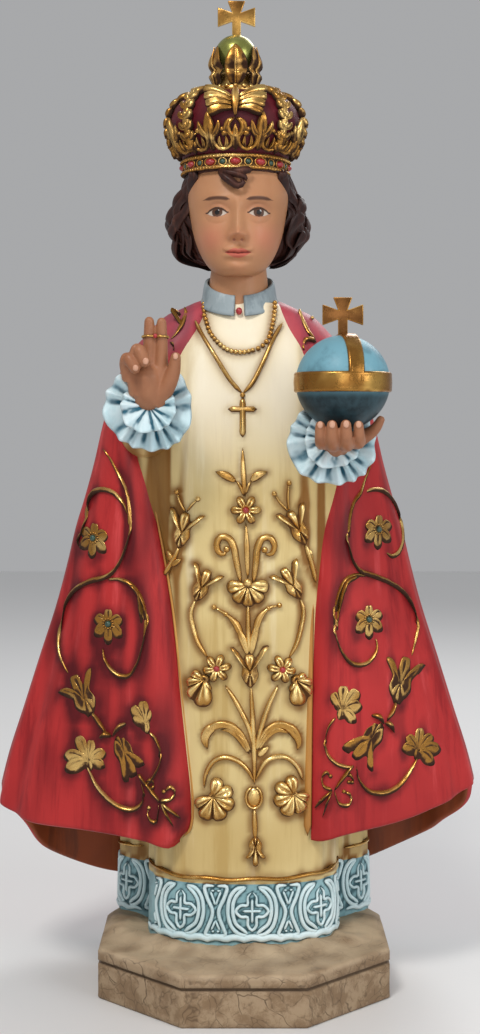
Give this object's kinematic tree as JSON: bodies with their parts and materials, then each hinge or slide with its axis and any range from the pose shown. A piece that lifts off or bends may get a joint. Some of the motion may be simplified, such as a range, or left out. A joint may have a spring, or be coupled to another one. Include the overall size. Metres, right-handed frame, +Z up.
{
  "type": "infant of prague statue",
  "caption": "Carved and painted devotional figure of a robed child king with crown and globe on an octagonal plinth; stands on a shelf or niche by its own weight.",
  "frame": {"origin": "middle of the plinth's underside", "axes": "+Z up; the figure faces -Y; +X is to the right of someone who looks at its face"},
  "size_m": [0.3034, 0.2083, 0.61],
  "materials": {
    "painted_marble": "matt paint imitating beige and pink marble with dark crackled veins",
    "painted_figure": "cast figure in satin oil paint: crimson cape, ivory tunic, pale blue lace and frills, skin tones, raised ornament in gold leaf",
    "gilt": "antiqued gold leaf over carving, dark in its hollows",
    "flat_gold": "dull gold sheet metal",
    "painted_globe": "slate blue satin paint with gilt bands"
  },
  "bodies": {
    "root": {"plinth": "painted_marble", "figure": "painted_figure", "crown": "gilt", "crown_cross": "flat_gold", "globe": "painted_globe", "globe_cross": "flat_gold"}
  },
  "joints": []
}
